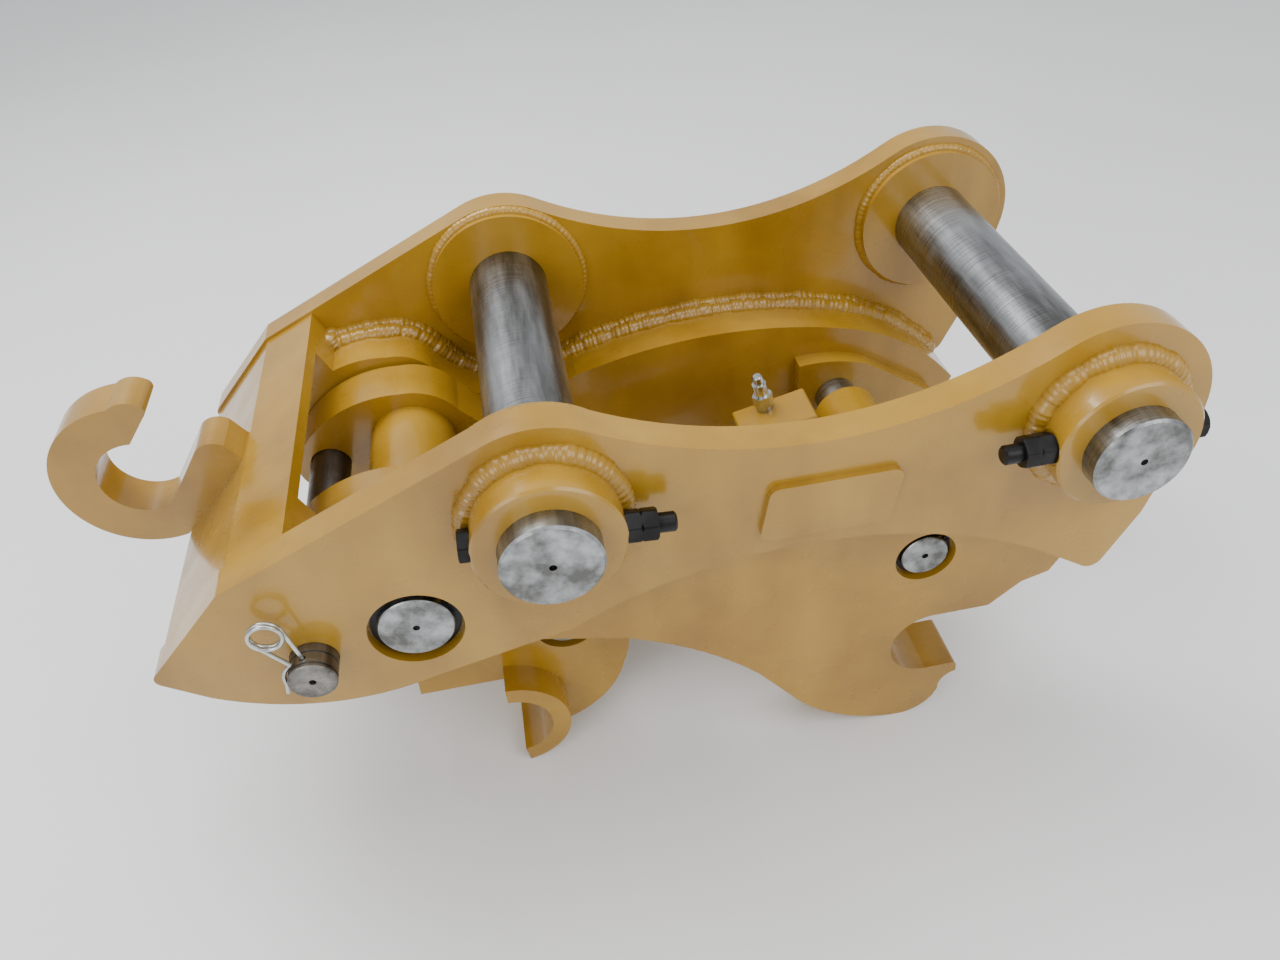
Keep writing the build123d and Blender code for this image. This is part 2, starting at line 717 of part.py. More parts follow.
def near_cheek():
    cheek = slab(cheek_outline(), -CHEEK_OUTER, -CHEEK_INNER)
    cheek -= rod_along_y(PIVOT, BUSH_OUTER_R + FIXED_GAP, -CHEEK_OUTER - 1, -CHEEK_INNER + 1)
    cheek -= rod_along_y(ROD_PIN, ROD_PIN_R + PIN_GAP, -CHEEK_OUTER - 1, -CHEEK_INNER + 1)
    cheek -= rod_along_y(ROD_PIN, ROD_RING_R, -CHEEK_OUTER - 1, -CHEEK_OUTER + POCKET_DEEP)
    cheek -= heel_notch()
    return cheek.solids().sort_by(SortBy.VOLUME)[-1]


def hook_hub():
    return ring_along_y(PIVOT, BUSH_OUTER_R + HUB_WALL, BUSH_OUTER_R + FIXED_GAP, -CHEEK_INNER, CHEEK_INNER)


def hook_bushes():
    bush = ring_along_y(PIVOT, BUSH_OUTER_R, PIVOT_R + RUNNING_GAP, -CHEEK_OUTER, -CHEEK_OUTER + BUSH_LONG)
    return Compound([bush.solids()[0], other_side(bush).solids()[0]])


def hook_seat():
    # Half tube, open towards the nose
    low_angle = 90.0 - SEAT_OPEN_ANGLE
    edges = [
        arc(spot(SEAT, SEAT_OUTER_R, 90), spot(SEAT, SEAT_OUTER_R, 5), spot(SEAT, SEAT_OUTER_R, low_angle)),
        line(spot(SEAT, SEAT_OUTER_R, low_angle), spot(SEAT, JAW_R, low_angle)),
        arc(spot(SEAT, JAW_R, low_angle), spot(SEAT, JAW_R, 5), spot(SEAT, JAW_R, 90)),
        line(spot(SEAT, JAW_R, 90), spot(SEAT, SEAT_OUTER_R, 90)),
    ]
    return slab(edges, -SEAT_HALF_LONG, SEAT_HALF_LONG)


# Hydraulic cylinder, drawn along local +x from the cylinder pin to the rod pin

def cylinder_frame():
    return Pos(CYL_X, 0, CYL_Z) * Rot(0, -heading(CYL, ROD_PIN), 0)


def cylinder_length():
    return math.dist(CYL, ROD_PIN)


def round_bar(radius, start, end):
    return Pos((start + end) / 2, 0, 0) * Rot(0, 90, 0) * Cylinder(radius, end - start)


def cross_bar(place, radius, half_long):
    return Pos(place, 0, 0) * Rot(90, 0, 0) * Cylinder(radius, 2 * half_long)


def cylinder_barrel():
    cap_end = BARREL_START + CAP_THICK
    barrel = round_bar(BARREL_R, BARREL_START, GLAND_END - GLAND_THICK)
    barrel -= round_bar(BORE_R + FIXED_GAP, cap_end, GLAND_END)
    barrel += Pos(BARREL_START / 2, 0, 0) * Box(BARREL_START + 4, 1.2 * BARREL_R, 0.9 * BARREL_R)
    barrel -= cross_bar(0, EYE_R + FIXED_GAP, 2 * EYE_HALF_LONG)
    return cylinder_frame() * barrel.solids().sort_by(SortBy.VOLUME)[-1]


def cap_eye():
    bush_outer = CYL_PIN_R + RUNNING_GAP + EYE_BUSH_WALL + FIXED_GAP
    eye = cross_bar(0, EYE_R, EYE_HALF_LONG)
    return cylinder_frame() * (eye - cross_bar(0, bush_outer, 2 * EYE_HALF_LONG))


def cap_eye_bush():
    outer = CYL_PIN_R + RUNNING_GAP + EYE_BUSH_WALL
    bore = cross_bar(0, CYL_PIN_R + RUNNING_GAP, 2 * EYE_HALF_LONG)
    return cylinder_frame() * (cross_bar(0, outer, EYE_HALF_LONG) - bore)


def cylinder_gland():
    start = GLAND_END - GLAND_THICK
    gland = round_bar(BARREL_R, start, GLAND_END)
    gland = chamfer(gland.edges().filter_by(GeomType.CIRCLE).sort_by(Axis.X)[-1], 4.0)
    gland += round_bar(BORE_R, start - GLAND_THICK, start)
    gland -= round_bar(ROD_R + SLIDING_GAP, start - 2 * GLAND_THICK, GLAND_END + 1)
    gland -= round_bar(ROD_R + SEAL_DEEP, GLAND_END - SEAL_THICK, GLAND_END + 1)
    return cylinder_frame() * gland


def rod_wiper():
    ring = round_bar(ROD_R + SEAL_DEEP - FIXED_GAP, GLAND_END - SEAL_THICK, GLAND_END)
    hole = round_bar(ROD_R + SLIDING_GAP, GLAND_END - 2 * SEAL_THICK, GLAND_END + 1)
    return cylinder_frame() * (ring - hole)


def piston_start():
    return BARREL_START + CAP_THICK + PISTON_END_GAP


def seal_start():
    return piston_start() + (PISTON_THICK - SEAL_THICK) / 2


def piston():
    start = piston_start()
    body = round_bar(BORE_R - SLIDING_GAP, start, start + PISTON_THICK)
    groove = round_bar(BORE_R + 1, seal_start(), seal_start() + SEAL_THICK)
    groove -= round_bar(BORE_R - SEAL_DEEP, seal_start() - 1, seal_start() + SEAL_THICK + 1)
    return cylinder_frame() * (body - groove)


def piston_seal():
    ring = round_bar(BORE_R - SLIDING_GAP, seal_start(), seal_start() + SEAL_THICK)
    hole = round_bar(BORE_R - SEAL_DEEP + FIXED_GAP, seal_start() - 1, seal_start() + SEAL_THICK + 1)
    return cylinder_frame() * (ring - hole)


def piston_rod():
    rod = round_bar(ROD_R, piston_start() + PISTON_THICK, cylinder_length() - 10.0)
    eye_space = cross_bar(cylinder_length(), ROD_EYE_R + FIXED_GAP, 2 * ROD_EYE_HALF_LONG)
    return cylinder_frame() * (rod - eye_space)


def rod_eye():
    eye = cross_bar(cylinder_length(), ROD_EYE_R, ROD_EYE_HALF_LONG)
    bore = cross_bar(cylinder_length(), ROD_PIN_R + ROD_EYE_SLACK, 2 * ROD_EYE_HALF_LONG)
    return cylinder_frame() * (eye - bore)


def block_frame():
    # Local z is square to the barrel and upward, with its zero on the barrel's axis
    return cylinder_frame() * Rot(180, 0, 0) * Pos(BLOCK_PLACE, 0, 0)


def valve_block():
    bottom = BARREL_R - 8.0
    top = BARREL_R + BLOCK_TALL
    block = Pos(0, 0, (bottom + top) / 2) * Box(BLOCK_LONG, BLOCK_WIDE, top - bottom)
    block = chamfer(block.edges(), BLOCK_CHAMFER)
    return block_frame() * (block - Rot(0, 90, 0) * Cylinder(BARREL_R + FIXED_GAP, 4 * BLOCK_LONG))


def hose_fitting():
    # Collar, hexagon, neck and capped nose, standing on top of the block
    upright = (Align.CENTER, Align.CENTER, Align.MIN)
    collar = FITTING_TALL * 0.15
    hexagon = FITTING_TALL * 0.43
    neck = FITTING_TALL * 0.76
    fitting = Cylinder(FITTING_R, collar, align=upright)
    flats = RegularPolygon(FITTING_R, 6, major_radius=False)
    fitting += Pos(0, 0, collar) * extrude(flats, hexagon - collar)
    fitting += Pos(0, 0, hexagon) * Cylinder(FITTING_R * 0.8, neck - hexagon, align=upright)
    nose = Cylinder(FITTING_R * 0.6, FITTING_TALL - neck, align=upright)
    nose = chamfer(nose.edges().filter_by(GeomType.CIRCLE).sort_by(Axis.Z)[-1], 1.5)
    fitting += Pos(0, 0, neck) * nose
    return block_frame() * Pos(FITTING_PLACE, -FITTING_FAR_Y, BARREL_R + BLOCK_TALL) * fitting


def nodes():
    near_boss_link = outer_boss(LINK, LINK_BOLT_TILT, -1)
    near_boss_stick = outer_boss(STICK, 0, -1)
    link_disc = ring_along_y(LINK, LINK_DISC_R, PIN_R + PIN_GAP, -EAR_INNER, -EAR_INNER + DISC_THICK)
    stick_disc = ring_along_y(STICK, STICK_DISC_R, PIN_R + PIN_GAP, -EAR_INNER, -EAR_INNER + DISC_THICK)
    ear = near_ear()
    jaw = near_jaw()
    doubler = near_doubler()
    cheek = near_cheek()
    return {
        "near_ear": ear,
        "far_ear": other_side(ear),
        "near_jaw": jaw,
        "far_jaw": other_side(jaw),
        "near_doubler": doubler,
        "far_doubler": other_side(doubler),
        "near_link_boss": near_boss_link,
        "far_link_boss": outer_boss(LINK, 0, 1),
        "near_stick_boss": near_boss_stick,
        "far_stick_boss": outer_boss(STICK, 0, 1),
        "near_link_disc": link_disc,
        "far_link_disc": other_side(link_disc),
        "near_stick_disc": stick_disc,
        "far_stick_disc": other_side(stick_disc),
        "nose_top_plate": nose_top_plate(),
        "nose_front_plate": nose_front_plate(),
        "lifting_hook": lifting_hook(),
        "name_pad": name_pad(),
        "link_pin": machine_pin(LINK, LINK_BOLT_TILT),
        "stick_pin": machine_pin(STICK, 0),
        "link_pin_bolt": retaining_bolt(LINK, LINK_BOLT_TILT, -1),
        "link_pin_nuts": retaining_nuts(LINK, LINK_BOLT_TILT, -1),
        "stick_pin_bolt": retaining_bolt(STICK, 0, 1),
        "stick_pin_nuts": retaining_nuts(STICK, 0, 1),
        "hook_pivot_pin": circlip_pin(PIVOT, PIVOT_R, EAR_OUTER),
        "hook_pivot_circlips": circlip_pair(PIVOT, PIVOT_R, PIVOT_CLIP_REACH, EAR_OUTER),
        "cylinder_pin": circlip_pin(CYL, CYL_PIN_R, EAR_INNER),
        "cylinder_pin_circlips": circlip_pair(CYL, CYL_PIN_R, CIRCLIP_REACH, EAR_INNER),
        "near_hook_cheek": cheek,
        "far_hook_cheek": other_side(cheek),
        "hook_hub": hook_hub(),
        "hook_bushes": hook_bushes(),
        "hook_seat": hook_seat(),
        "rod_pin": circlip_pin(ROD_PIN, ROD_PIN_R, CHEEK_OUTER),
        "rod_pin_circlips": circlip_pair(ROD_PIN, ROD_PIN_R, CIRCLIP_REACH, CHEEK_OUTER),
        "cylinder_barrel": cylinder_barrel(),
        "cap_eye": cap_eye(),
        "cap_eye_bush": cap_eye_bush(),
        "cylinder_gland": cylinder_gland(),
        "rod_wiper": rod_wiper(),
        "valve_block": valve_block(),
        "hose_fitting": hose_fitting(),
        "piston": piston(),
        "piston_seal": piston_seal(),
        "piston_rod": piston_rod(),
        "rod_eye": rod_eye(),
        "safety_pin": safety_pin(),
        "spring_clip": spring_clip(),
    }


def main():
    os.makedirs("parts", exist_ok=True)
    for name, shape in nodes().items():
        export_step(shape, f"parts/{name}.step")
        print(name, len(shape.solids()), "solids", round(shape.volume / 1000), "cm3")


main()
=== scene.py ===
"""Dresses the hydraulic quick coupler: paint, weld beads, steel finishes, floor, light and camera."""
import json
import logging
import math
from dataclasses import dataclass, field
from enum import Enum
from typing import Callable, Optional, Sequence

import bpy
import numpy as np
from mathutils import Matrix


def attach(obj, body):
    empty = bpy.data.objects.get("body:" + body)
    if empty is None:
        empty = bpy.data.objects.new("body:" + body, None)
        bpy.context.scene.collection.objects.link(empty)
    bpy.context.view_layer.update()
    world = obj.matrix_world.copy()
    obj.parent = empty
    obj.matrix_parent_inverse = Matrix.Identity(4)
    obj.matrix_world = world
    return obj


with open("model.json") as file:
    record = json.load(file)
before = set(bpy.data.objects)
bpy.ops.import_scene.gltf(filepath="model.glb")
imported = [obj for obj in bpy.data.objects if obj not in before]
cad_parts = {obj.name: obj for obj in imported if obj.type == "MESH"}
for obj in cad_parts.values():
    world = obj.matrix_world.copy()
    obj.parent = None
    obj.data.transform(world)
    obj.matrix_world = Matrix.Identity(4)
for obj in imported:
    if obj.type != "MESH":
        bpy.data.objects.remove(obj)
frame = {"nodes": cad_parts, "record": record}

log = logging.getLogger("coupler")
MM = 0.001
Array = np.ndarray
Colour = tuple[float, float, float]


class Side(Enum):
    """The two sides of the coupler; the near one faces the camera."""

    NEAR = -1
    FAR = 1


@dataclass(frozen=True)
class Place:
    """A centre in the X-Z plane, in metres."""

    x: float
    z: float


@dataclass(frozen=True)
class CouplerSizes:
    """Sizes and places of the solids that the dressing follows, in metres."""

    link: Place = Place(0.0, 0.0)
    stick: Place = Place(0.460, 0.0)
    pivot: Place = Place(-0.121, -0.100)
    cylinder: Place = Place(0.338, -0.159)
    rod_pin: Place = Place(-0.001, -0.234)
    safety: Place = Place(-0.208, -0.107)
    seat: Place = Place(-0.071, -0.337)
    ear_inner: float = 0.172
    ear_outer: float = 0.202
    jaw_inner: float = 0.112
    boss_face: float = 0.241
    pin_end: float = 0.260
    pin_r: float = 0.040
    boss_r: float = 0.060
    link_disc_r: float = 0.078
    stick_disc_r: float = 0.076
    disc_face: float = 0.160
    cheek_inner: float = 0.056
    cheek_outer: float = 0.108
    ground: float = -0.396


SIZES = CouplerSizes()


# Mesh helpers

def smooth_noise(along: Array, length: float, seed: int) -> Array:
    """Wandering value in about -1 to 1: a sum of four sines of falling wavelength with seeded phases.

    Args:
        along: distances along a path, in metres.
        length: longest wavelength, in metres.
        seed: seed of the phases.

    Returns:
        One value for each distance.
    """
    phases = np.random.default_rng(seed).uniform(0, 2 * np.pi, 4)
    octave = 1.9 ** np.arange(4)
    waves = np.sin(2 * np.pi * along[:, None] * octave / length + phases) / octave ** 0.5
    return waves.sum(1) / 1.9


def new_mesh(name: str, points: Array, faces: Array, smooth: bool = True) -> bpy.types.Object:
    """Makes a mesh object at the origin from points and quads or triangles.

    Args:
        name: object name.
        points: (N, 3) places in metres.
        faces: list or array of vertex indices.
        smooth: True for smooth shading.

    Returns:
        The linked object.
    """
    mesh = bpy.data.meshes.new(name)
    mesh.from_pydata(points.tolist(), [], faces if isinstance(faces, list) else faces.tolist())
    mesh.polygons.foreach_set("use_smooth", np.full(len(mesh.polygons), smooth))
    mesh.update()
    piece = bpy.data.objects.new(name, mesh)
    bpy.context.scene.collection.objects.link(piece)
    return piece


def resample(path: Array, step: float, closed: bool) -> Array:
    """Points at even distances along a polyline.

    Args:
        path: (N, 3) corners in order.
        step: wanted distance in metres.
        closed: True if the last corner joins the first.

    Returns:
        (M, 3) points; a closed path doesn't repeat its first point.
    """
    if closed:
        path = np.vstack([path, path[:1]])
    run = np.concatenate([[0.0], np.cumsum(np.linalg.norm(np.diff(path, axis=0), axis=1))])
    count = max(8, int(run[-1] / step))
    at = np.linspace(0, run[-1], count + 1)
    at = at[:-1] if closed else at
    return np.stack([np.interp(at, run, path[:, k]) for k in range(3)], 1)


def unit(vectors: Array) -> Array:
    """Rows scaled to length one."""
    return vectors / np.maximum(np.linalg.norm(vectors, axis=-1, keepdims=True), 1e-12)


def ring_path(centre: Place, radius: float, y: float, count: int = 240) -> Array:
    """Circle of that radius round a centre in the plane y."""
    turn = np.linspace(0, 2 * np.pi, count, endpoint=False)
    return np.stack([centre.x + radius * np.cos(turn), np.full(count, y), centre.z + radius * np.sin(turn)], 1)


def edge_profile(node: str, y: float, xs: Array, top: bool) -> Array:
    """Upper or lower edge of a plate's face in the plane y, as heights over x.

    Every triangle side that lies in the plane is a straight line over x. At each x the edge is
    the highest, or lowest, of the lines that pass it.

    Args:
        node: name of the solid.
        y: plane of the face, in metres.
        xs: (N,) places along x.
        top: True for the upper edge.

    Returns:
        (N, 3) points of the edge.
    """
    mesh = frame["nodes"][node].data
    mesh.calc_loop_triangles()
    co = np.zeros(len(mesh.vertices) * 3)
    mesh.vertices.foreach_get("co", co)
    co = co.reshape(-1, 3)
    tris = np.zeros(len(mesh.loop_triangles) * 3, int)
    mesh.loop_triangles.foreach_get("vertices", tris)
    corners = co[tris.reshape(-1, 3)]
    corners = corners[np.all(np.abs(corners[:, :, 1] - y) < 2e-5, axis=1)]
    start = np.concatenate([corners[:, k] for k in range(3)])
    end = np.concatenate([corners[:, (k + 1) % 3] for k in range(3)])
    low_x = np.minimum(start[:, 0], end[:, 0])[:, None] - 1e-7
    high_x = np.maximum(start[:, 0], end[:, 0])[:, None] + 1e-7
    width = np.where(np.abs(end[:, 0] - start[:, 0]) < 1e-9, 1e-9, end[:, 0] - start[:, 0])[:, None]
    part = np.clip((xs[None] - start[:, 0:1]) / width, 0, 1)
    height = start[:, 2:3] + part * (end[:, 2] - start[:, 2])[:, None]
    outside = (xs[None] < low_x) | (xs[None] > high_x)
    height = np.where(outside, -np.inf if top else np.inf, height)
    z = height.max(0) if top else height.min(0)
    keep = np.isfinite(z)
    return np.stack([xs[keep], np.full(keep.sum(), y), z[keep]], 1)


# Weld beads

@dataclass(frozen=True)
class Bead:
    """Shape of a weld bead: leg length, ripple pitch and unevenness, in metres and shares."""

    leg: float = 0.009
    pitch: float = 0.0052
    ripple: float = 0.10
    wander: float = 0.10
    around: int = 14
    step: float = 0.0011
    lean: float = 0.35


class WeldShop:
    """Lays weld beads along seams and keeps them as painted pieces."""

    def __init__(self, paint: bpy.types.Material) -> None:
        """Keeps the paint that every bead gets."""
        self.paint = paint
        self.seed = 11

    def lay(self, name: str, path: Array, face: Array, bead: Bead, body: str = "frame", closed: bool = False) -> bpy.types.Object:
        """Lays one bead in the corner that runs along a path.

        The bead is a round section carried along the path. Its radius is the leg times one plus the
        ripple, a rounded saw-tooth of the distance along the path that leans back at the middle of
        the bead like laid coins, plus a slow wander. Open ends are rounded off.

        Args:
            name: piece name.
            path: (N, 3) corner line in metres.
            face: (3,) or (N, 3) direction out of the corner, the middle of the visible side.
            bead: shape of the bead.
            body: body that the bead rides on.
            closed: True for a ring.

        Returns:
            The piece.
        """
        self.seed += 1
        line = resample(path, bead.step, closed)
        count = len(line)
        if face.ndim == 2:
            source = np.linspace(0, 1, len(face))
            face = np.stack([np.interp(np.linspace(0, 1, count), source, face[:, k]) for k in range(3)], 1)
        else:
            face = np.repeat(face[None], count, 0)
        ahead = np.roll(line, -1, 0) - np.roll(line, 1, 0)
        if not closed:
            ahead[0] = line[1] - line[0]
            ahead[-1] = line[-1] - line[-2]
        ahead = unit(ahead)
        out = unit(face - (face * ahead).sum(1, keepdims=True) * ahead)
        cross = np.cross(ahead, out)
        run = np.concatenate([[0.0], np.cumsum(np.linalg.norm(np.diff(line, axis=0), axis=1))])
        total = run[-1] + (np.linalg.norm(line[0] - line[-1]) if closed else 0.0)
        waves = max(1, round(total / bead.pitch))
        jitter = 0.25 * smooth_noise(run, 0.05, self.seed)
        if closed:
            jitter = jitter * np.sin(np.pi * run / total) ** 0.5
        turn = np.linspace(0, 2 * np.pi, bead.around, endpoint=False)
        phase = run[:, None] * waves / total + jitter[:, None] - bead.lean * np.cos(turn)[None]
        saw = np.abs(np.sin(np.pi * phase)) ** 0.7 - 0.6
        wander = smooth_noise(run, 0.06, self.seed + 500)
        if closed:
            wander = wander * np.sin(np.pi * run / total) ** 0.5
        radius = bead.leg * (1 + bead.ripple * saw + bead.wander * wander[:, None])
        if not closed:
            near_end = np.minimum(run, total - run) / bead.leg
            radius = radius * np.sqrt(np.clip(1 - (1 - np.clip(near_end, 0, 1)) ** 2, 0.02, 1))[:, None]
        points = line[:, None] + radius[:, :, None] * (
            np.cos(turn)[None, :, None] * out[:, None] + np.sin(turn)[None, :, None] * cross[:, None])
        rows = np.arange(count if closed else count - 1)
        cols = np.arange(bead.around)
        a = rows[:, None] * bead.around + cols
        b = rows[:, None] * bead.around + (cols + 1) % bead.around
        c = ((rows[:, None] + 1) % count) * bead.around + (cols + 1) % bead.around
        d = ((rows[:, None] + 1) % count) * bead.around + cols
        faces = np.stack([a, d, c, b], 2).reshape(-1, 4).tolist()
        if not closed:
            faces.append(cols.tolist())
            faces.append((cols[::-1] + (count - 1) * bead.around).tolist())
        piece = new_mesh(name, points.reshape(-1, 3), faces)
        piece.data.materials.append(self.paint)
        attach(piece, body)
        log.info("bead %s: %.0f mm", name, total * 1000)
        return piece


@dataclass
class FrameWelds:
    """Beads that join the plates, bosses and covers of the fixed frame."""

    shop: WeldShop
    sizes: CouplerSizes = SIZES
    boss_bead: Bead = Bead(leg=0.011, wander=0.14)
    plate_bead: Bead = Bead(leg=0.010, wander=0.16, ripple=0.13)
    small_bead: Bead = Bead(leg=0.006)

    def build(self) -> None:
        """Lays every bead of the frame."""
        s = self.sizes
        for side in Side:
            tag = side.name.lower()
            outward = np.array([0.0, side.value, 0.0])
            for label, centre, disc_r in (("link", s.link, s.link_disc_r), ("stick", s.stick, s.stick_disc_r)):
                ring = ring_path(centre, s.boss_r, side.value * s.ear_outer)
                radial = unit(ring - np.array([centre.x, side.value * s.ear_outer, centre.z]))
                self.shop.lay(f"{tag}_{label}_boss_weld", ring, radial + outward, self.boss_bead, closed=True)
                ring = ring_path(centre, disc_r, side.value * s.ear_inner)
                radial = unit(ring - np.array([centre.x, side.value * s.ear_inner, centre.z]))
                self.shop.lay(f"{tag}_{label}_disc_weld", ring, radial - outward, self.small_bead, closed=True)
            self.jaw_top(side)

    def jaw_top(self, side: Side) -> None:
        """Two rows of bead on top of a jaw plate, along the inner face of its ear."""
        s = self.sizes
        tag = side.name.lower()
        xs = np.linspace(-0.196, 0.482, 700)
        top = edge_profile(f"{tag}_jaw", side.value * s.ear_inner, xs, True)
        slope = np.gradient(top[:, 2], top[:, 0])
        upward = unit(np.stack([-slope, np.zeros(len(top)), np.ones(len(top))], 1))
        inward = np.array([0.0, -side.value, 0.0])
        self.shop.lay(f"{tag}_jaw_top_weld", top, upward + inward, self.plate_bead)
        second = top + inward * 0.011 + upward * -0.002
        self.shop.lay(f"{tag}_jaw_top_weld_2", second, upward, self.plate_bead)


# Shader building

class Shader:
    """Short way to add and link shader nodes in one node tree."""

    def __init__(self, tree: bpy.types.NodeTree) -> None:
        """Keeps the tree."""
        self.tree = tree

    def node(self, kind: str, **values: object) -> bpy.types.Node:
        """Adds a node of a kind and sets its properties."""
        made = self.tree.nodes.new(kind)
        for key, value in values.items():
            setattr(made, key, value)
        return made

    def feed(self, target: bpy.types.Node, **sockets: object) -> bpy.types.Node:
        """Sets or links inputs by name, with underscores for spaces."""
        for key, value in sockets.items():
            socket = target.inputs[key.replace("_", " ")]
            if isinstance(value, bpy.types.NodeSocket):
                self.tree.links.new(value, socket)
            else:
                socket.default_value = value
        return target

    def coords(self, scale: Sequence[float] = (1, 1, 1), shift: Sequence[float] = (0, 0, 0)) -> bpy.types.NodeSocket:
        """Object coordinates, shifted and then scaled along each axis."""
        place = self.node("ShaderNodeTexCoord").outputs["Object"]
        moved = self.node("ShaderNodeVectorMath", operation="ADD")
        self.tree.links.new(place, moved.inputs[0])
        moved.inputs[1].default_value = shift
        scaled = self.node("ShaderNodeVectorMath", operation="MULTIPLY")
        self.tree.links.new(moved.outputs[0], scaled.inputs[0])
        scaled.inputs[1].default_value = scale
        return scaled.outputs[0]

    def noise(self, vector: bpy.types.NodeSocket, scale: float, detail: float = 2.0, rough: float = 0.5) -> bpy.types.NodeSocket:
        """Noise value of a vector."""
        made = self.node("ShaderNodeTexNoise")
        self.feed(made, Vector=vector, Scale=scale, Detail=detail, Roughness=rough)
        return made.outputs[0]

    def ramp(self, value: bpy.types.NodeSocket, low: float, high: float, out_low: float = 0.0, out_high: float = 1.0) -> bpy.types.NodeSocket:
        """Value carried from one range to another, held at its ends."""
        made = self.node("ShaderNodeMapRange", clamp=True)
        self.feed(made, Value=value, From_Min=low, From_Max=high, To_Min=out_low, To_Max=out_high)
        return made.outputs[0]

    def math(self, operation: str, a: object, b: object = 0.0) -> bpy.types.NodeSocket:
        """One step of arithmetic on values or sockets."""
        made = self.node("ShaderNodeMath", operation=operation)
        for socket, value in zip(made.inputs, (a, b)):
            if isinstance(value, bpy.types.NodeSocket):
                self.tree.links.new(value, socket)
            else:
                socket.default_value = value
        return made.outputs[0]

    def mix(self, share: object, low: object, high: object) -> bpy.types.NodeSocket:
        """Colour between two colours by a share."""
        made = self.node("ShaderNodeMix", data_type="RGBA")
        for index, value in ((0, share), (6, low), (7, high)):
            if isinstance(value, bpy.types.NodeSocket):
                self.tree.links.new(value, made.inputs[index])
            elif index == 0:
                made.inputs[index].default_value = value
            else:
                made.inputs[index].default_value = (*value, 1.0)
        return made.outputs[2]


class SharedEffects:
    """Node groups that several finishes use."""

    def __init__(self) -> None:
        """Builds the groups."""
        self.mottle = self.build_mottle()
        self.turning = self.build_turning()

    @staticmethod
    def start(name: str, inputs: Sequence[tuple[str, float]], outputs: Sequence[str]) -> tuple[Shader, bpy.types.Node, bpy.types.Node]:
        """New group with float inputs and float outputs.

        Args:
            name: group name.
            inputs: names and default values.
            outputs: names of the values put out.

        Returns:
            The shader helper, the group's input node and its output node.
        """
        tree = bpy.data.node_groups.new(name, "ShaderNodeTree")
        for label, value in inputs:
            socket = tree.interface.new_socket(name=label, in_out="INPUT", socket_type="NodeSocketFloat")
            socket.default_value = value
        for label in outputs:
            tree.interface.new_socket(name=label, in_out="OUTPUT", socket_type="NodeSocketFloat")
        shader = Shader(tree)
        return shader, shader.node("NodeGroupInput"), shader.node("NodeGroupOutput")

    def build_mottle(self) -> bpy.types.NodeTree:
        """Broad patches, fine orange peel and small specks over any surface."""
        shader, given, out = self.start(
            "Mottle", (("Broad Scale", 5.0), ("Peel Scale", 330.0), ("Speck Share", 0.1)), ("Broad", "Peel", "Specks"))
        place = shader.coords()
        broad = shader.node("ShaderNodeTexNoise")
        shader.feed(broad, Vector=place, Scale=given.outputs[0], Detail=4.0, Roughness=0.6)
        peel = shader.node("ShaderNodeTexNoise")
        shader.feed(peel, Vector=place, Scale=given.outputs[1], Detail=1.0)
        dots = shader.noise(place, 120.0, 5.0, 0.75)
        edge = shader.math("SUBTRACT", 0.78, given.outputs[2])
        specks = shader.node("ShaderNodeMapRange", clamp=True)
        shader.feed(specks, Value=dots, From_Min=edge, From_Max=0.85, To_Min=0.0, To_Max=1.0)
        for index, socket in enumerate((broad.outputs[0], peel.outputs[0], specks.outputs[0])):
            shader.tree.links.new(socket, out.inputs[index])
        return shader.tree

    def build_turning(self) -> bpy.types.NodeTree:
        """Fine rings of a lathe across the axis along Y, and long streaks along it that are partly oily marks and
        partly painted streak reflection.
        """
        shader, given, out = self.start("Turning", (("Ring Scale", 900.0),), ("Rings", "Smears And Sheen", "Pits"))
        rings = shader.node("ShaderNodeTexNoise")
        shader.feed(rings, Vector=shader.coords((0.004, 1.0, 0.004)), Scale=given.outputs[0], Detail=3.0)
        # Streaks along the Y axis: partly oily marks, partly painted streak reflection.
        smears_and_sheen = shader.noise(shader.coords((1.0, 0.12, 1.0)), 42.0, 4.0, 0.6)
        pits = shader.noise(shader.coords(), 260.0, 6.0, 0.7)
        for index, socket in enumerate((rings.outputs[0], smears_and_sheen, pits)):
            shader.tree.links.new(socket, out.inputs[index])
        return shader.tree


